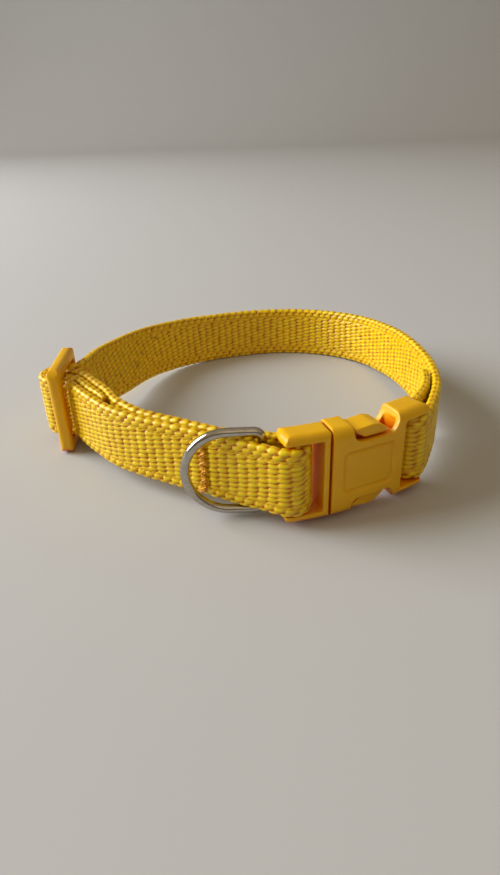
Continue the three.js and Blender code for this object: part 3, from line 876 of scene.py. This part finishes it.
def carve_slider(points, shift):
    place = plan_point(SLIDER_PLACE) + shift
    offset = points[:, :2] - place
    x = offset @ ahead(SLIDER_HEADING)
    y = offset @ left_of(SLIDER_HEADING)
    up = points[:, 2] - MIDDLE
    half_length = SLIDER_SLOT + SLIDER_END_BAR
    half_thickness = SLIDER_THICKNESS / 2
    x, up = drawn_in(x, up, half_length, MIDDLE, SLIDER_CORNER)
    y, up = drawn_in(y, up, half_thickness, MIDDLE, SLIDER_ROUND)
    x, y = drawn_in(x, y, half_length, half_thickness, SLIDER_ROUND)
    flat = place + np.outer(x, ahead(SLIDER_HEADING)) + np.outer(y, left_of(SLIDER_HEADING))
    return np.stack([flat[:, 0], flat[:, 1], up + MIDDLE], -1)


# Ring
RING_CORNER_STEPS = 6
RING_BOW_STEPS = 24
WELD_SWELL = 1.04  # radius of the weld's bead, as a share of the construction's
WELD_REACH = 0.62  # half length of the bead, as a share of the construction's length


def ring(shift, material):
    """The D-shaped ring of round wire, with the weld in its straight bar."""
    hinge = np.array([*(plan_point(RING_PLACE) + shift), MIDDLE])

    def spot(depth, up):
        return hinge + np.array([-depth, 0, up])

    bow = RING_DEPTH - RING_HALF
    path = [spot(0, RING_WELD_LENGTH / 3), spot(0, RING_HALF - 2 * RING_CORNER)]
    for i in range(RING_CORNER_STEPS + 1):
        turn = math.pi / 2 * i / RING_CORNER_STEPS
        below_top = RING_CORNER * (1 - math.sin(turn))
        path.append(spot(RING_CORNER * (1 - math.cos(turn)), RING_HALF - below_top))
    for i in range(RING_BOW_STEPS + 1):
        turn = math.pi / 2 - math.pi * i / RING_BOW_STEPS
        path.append(spot(bow + RING_HALF * math.cos(turn), RING_HALF * math.sin(turn)))
    for i in range(RING_CORNER_STEPS + 1):
        turn = math.pi / 2 * (1 - i / RING_CORNER_STEPS)
        above_foot = RING_CORNER * (1 - math.sin(turn))
        path.append(spot(RING_CORNER * (1 - math.cos(turn)), above_foot - RING_HALF))
    path += [spot(0, 2 * RING_CORNER - RING_HALF), spot(0, -RING_WELD_LENGTH / 3)]
    wire = tube("ring_wire", [path], RING_WIRE_RADIUS, material, sides=8)
    bead = RING_WELD_RADIUS * WELD_SWELL * MM
    bm = bmesh.new()
    bmesh.ops.create_uvsphere(bm, u_segments=20, v_segments=14, radius=1)
    bmesh.ops.scale(bm, vec=(bead, bead, RING_WELD_LENGTH * WELD_REACH * MM), verts=bm.verts)
    bmesh.ops.translate(bm, vec=Vector(hinge * MM), verts=bm.verts)
    weld = finished(bm, "ring_weld", material)
    for piece in (wire, weld):
        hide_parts("d_ring")
        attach(piece, "ring")


# Camera, floor and light
NEAREST_SEEN = 5
LIGHT_TARGET = (0, 0, 8)
SWEEP_START = 900  # the floor turns up into the backdrop this far behind
SWEEP_RADIUS = 350
SWEEP_STEPS = 24
BACKDROP_HEIGHT = 1200
FLOOR_REACH = 6000
ROOM_BRIGHTNESS = 0.43


def photo_camera(shift):
    pitch = math.radians(CAMERA_ELEVATION)
    roll = math.radians(CAMERA_ROLL)
    forward = Vector((0, math.cos(pitch), -math.sin(pitch)))
    right = Vector((1, 0, 0))
    up = right.cross(forward)
    leaned_right = right * math.cos(roll) + up * math.sin(roll)
    leaned_up = up * math.cos(roll) - right * math.sin(roll)
    data = bpy.data.cameras.new("photo_camera")
    data.sensor_width = SENSOR
    data.lens = FOCAL_PIXELS / PHOTO_LONG_SIDE * SENSOR
    data.clip_start = NEAREST_SEEN * MM
    camera = bpy.data.objects.new("photo_camera", data)
    turn = Matrix((leaned_right, leaned_up, -forward)).transposed()
    place = Vector((CAMERA_ON_PLAN[0] + shift[0], CAMERA_ON_PLAN[1] + shift[1], CAMERA_HEIGHT))
    camera.matrix_world = Matrix.Translation(place * MM) @ turn.to_4x4()
    bpy.context.scene.collection.objects.link(camera)
    bpy.context.scene.camera = camera


def area_light(name, place, size, power, colour):
    """A round lamp aimed at the collar, with its power in watts."""
    data = bpy.data.lights.new(name, "AREA")
    data.shape = "DISK"
    data.size = size * MM
    data.energy = power
    data.color = linear(colour)[:3]
    light = bpy.data.objects.new(name, data)
    aim = (Vector(LIGHT_TARGET) - Vector(place)) * MM
    turn = aim.to_track_quat("-Z", "Y").to_matrix().to_4x4()
    light.matrix_world = Matrix.Translation(Vector(place) * MM) @ turn
    bpy.context.scene.collection.objects.link(light)


def studio(material):
    """A pale floor that turns up into a backdrop, a large window light from the left and a soft room."""
    bm = bmesh.new()
    profile = [(-FLOOR_REACH, 0), (SWEEP_START, 0)]
    for i in range(1, SWEEP_STEPS + 1):
        turn = math.pi / 2 * i / SWEEP_STEPS
        profile.append((SWEEP_START + SWEEP_RADIUS * math.sin(turn), SWEEP_RADIUS * (1 - math.cos(turn))))
    profile.append((SWEEP_START + SWEEP_RADIUS, BACKDROP_HEIGHT))
    line = [bm.verts.new((-FLOOR_REACH * MM, y * MM, z * MM)) for y, z in profile]
    edges = [bm.edges.new(pair) for pair in zip(line, line[1:])]
    swept = bmesh.ops.extrude_edge_only(bm, edges=edges)["geom"]
    moved = [part for part in swept if isinstance(part, bmesh.types.BMVert)]
    bmesh.ops.translate(bm, vec=(2 * FLOOR_REACH * MM, 0, 0), verts=moved)
    bmesh.ops.recalc_face_normals(bm, faces=bm.faces)
    floor = finished(bm, "floor", material)
    area_light("window", place=(-880, 130, 455), size=760, power=15.8, colour="F8FAFF")
    area_light("fill", place=(60, -420, 420), size=500, power=0.2, colour="FFE8C8")
    world = bpy.data.worlds.new("soft_room")
    world.use_nodes = True
    tree = world.node_tree
    tree.nodes.clear()
    # the room is dim at eye level and pale overhead, which gives the polished ring its dark bands
    direction = node(tree, "ShaderNodeTexCoord").outputs["Generated"]
    height = node(tree, "ShaderNodeSeparateXYZ", {"Vector": direction})
    room = ramp(tree, height.outputs["Z"], [
        (0.0, "94897A"), (0.25, "A89A84"), (0.6, "F2DAB2"), (1.0, "FFEBCC"),
    ])
    sky = node(tree, "ShaderNodeBackground", {"Color": room, "Strength": ROOM_BRIGHTNESS})
    node(tree, "ShaderNodeOutputWorld", {"Surface": sky.outputs["Background"]})
    # the plain view keeps a bright yellow as saturated as it is, where the default one greys it
    bpy.context.scene.view_settings.view_transform = "Standard"
    bpy.context.scene.world = world


# The collar

slider_low, slider_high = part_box("slider")
slider_middle = np.array([(slider_low[i] + slider_high[i]) / 2 / MM for i in range(2)])
shift = slider_middle - plan_point(SLIDER_PLACE)
photo_camera(shift)
route = Route(shift)

nylon = webbing_material()
acetal = plastic_material()
nickel = nickel_material()
thread = thread_material()

socket_bar = route.mark("socket_bar")
back_middle = route.mark("back_middle")
slider_outside = route.mark("slider_outside")
plug_bar = route.mark("plug_bar")
slider_bar = route.mark("slider_bar")
tail_tip = route.mark("tail_tip")
ring_seam = route.mark("ring_seam")
socket_seam = route.mark("tail_start") - SOCKET_SEAM_INSET
webbing(route, "webbing_socket_tail", 0.0, socket_bar, [socket_seam], nylon)
webbing(route, "webbing_back_right", socket_bar, back_middle, [], nylon)
webbing(route, "webbing_back_left", back_middle, slider_outside, [], nylon)
webbing(route, "webbing_front_outer", slider_outside, plug_bar, [ring_seam], nylon)
webbing(route, "webbing_front_inner", plug_bar, slider_bar, [], nylon)
webbing(
    route, "webbing_slider_tail", slider_bar, tail_tip + TAIL_WEDGE, [], nylon,
    thinned_from=tail_tip - TAIL_WEDGE / 2,
)
bar_tack(route, "seam_ring", ring_seam, thread)
moulded("buckle_socket", "buckle_socket_shell", acetal, lambda points: carve_socket(points, shift))
moulded("buckle_plug", "buckle_plug_body", acetal, lambda points: carve_plug(points, shift))
moulded("slider", "slider_body", acetal, lambda points: carve_slider(points, shift))
ring(shift, nickel)
studio(floor_material())
